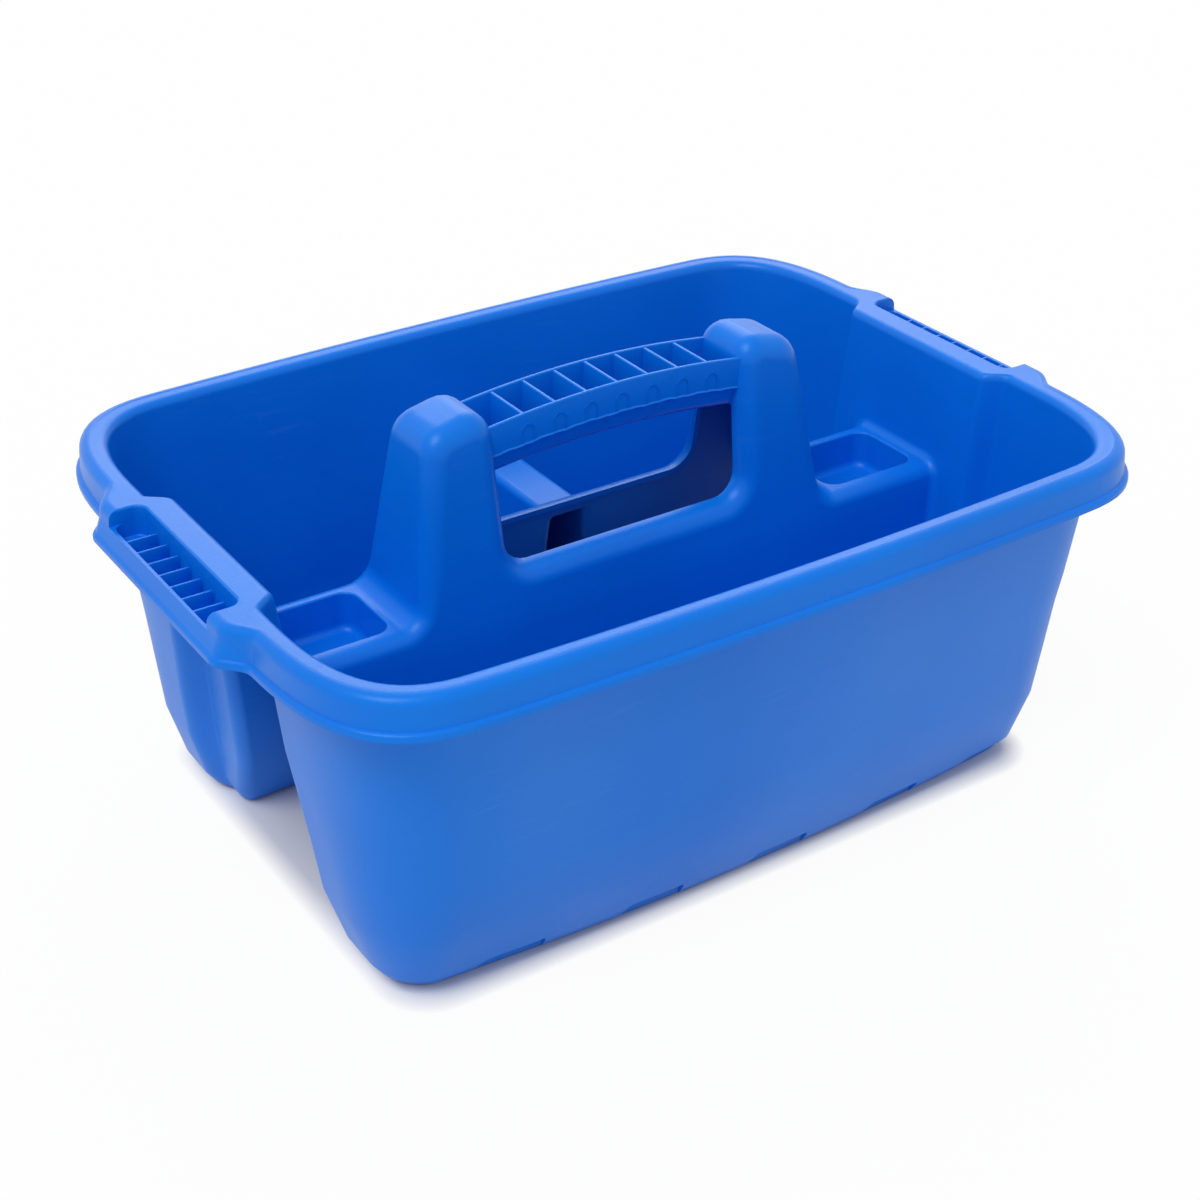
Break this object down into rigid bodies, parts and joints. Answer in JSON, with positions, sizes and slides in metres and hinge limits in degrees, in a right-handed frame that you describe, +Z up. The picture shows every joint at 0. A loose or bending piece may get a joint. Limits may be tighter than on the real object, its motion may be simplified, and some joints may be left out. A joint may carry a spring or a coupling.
{
  "type": "grooming tray",
  "caption": "Plastic carrying tray for grooming kit: deep compartments either side of a raised ridge with small pockets, an arched carrying grip on posts, and a rolled rim with end handles.",
  "frame": {"origin": "middle of the footprint, at the height of the surface that the tray stands on", "axes": "+X along the long side, towards the right as the open grip side is faced; +Y from the front compartment to the divided back compartment; +Z up"},
  "size_m": [0.419, 0.303, 0.196],
  "materials": {
    "moulding": "semi-matte injection-moulded polypropylene with a fine grain"
  },
  "bodies": {
    "root": {"back_left_corner_wall": "moulding", "back_left_end_wall": "moulding", "back_left_ridge_wall": "moulding", "back_left_rim_corner": "moulding", "back_partition": "moulding", "back_right_corner_wall": "moulding", "back_right_end_wall": "moulding", "back_right_ridge_wall": "moulding", "back_right_rim_corner": "moulding", "back_rim": "moulding", "back_side_wall": "moulding", "back_sill": "moulding", "back_tub_base": "moulding", "front_left_corner_wall": "moulding", "front_left_end_wall": "moulding", "front_left_rim_corner": "moulding", "front_ridge_wall": "moulding", "front_right_corner_wall": "moulding", "front_right_end_wall": "moulding", "front_right_rim_corner": "moulding", "front_rim": "moulding", "front_side_wall": "moulding", "front_sill": "moulding", "front_tub_base": "moulding", "grip_rib_1": "moulding", "grip_rib_2": "moulding", "grip_rib_3": "moulding", "grip_rib_4": "moulding", "grip_rib_5": "moulding", "grip_rib_6": "moulding", "grip_rib_7": "moulding", "grip_trough": "moulding", "left_end_bridge": "moulding", "left_end_handle": "moulding", "left_handle_fins": "moulding", "left_pocket_cup": "moulding", "left_post": "moulding", "left_post_crown": "moulding", "left_shelf": "moulding", "right_end_bridge": "moulding", "right_end_handle": "moulding", "right_handle_fins": "moulding", "right_pocket_cup": "moulding", "right_post": "moulding", "right_post_crown": "moulding", "right_shelf": "moulding"}
  },
  "joints": []
}
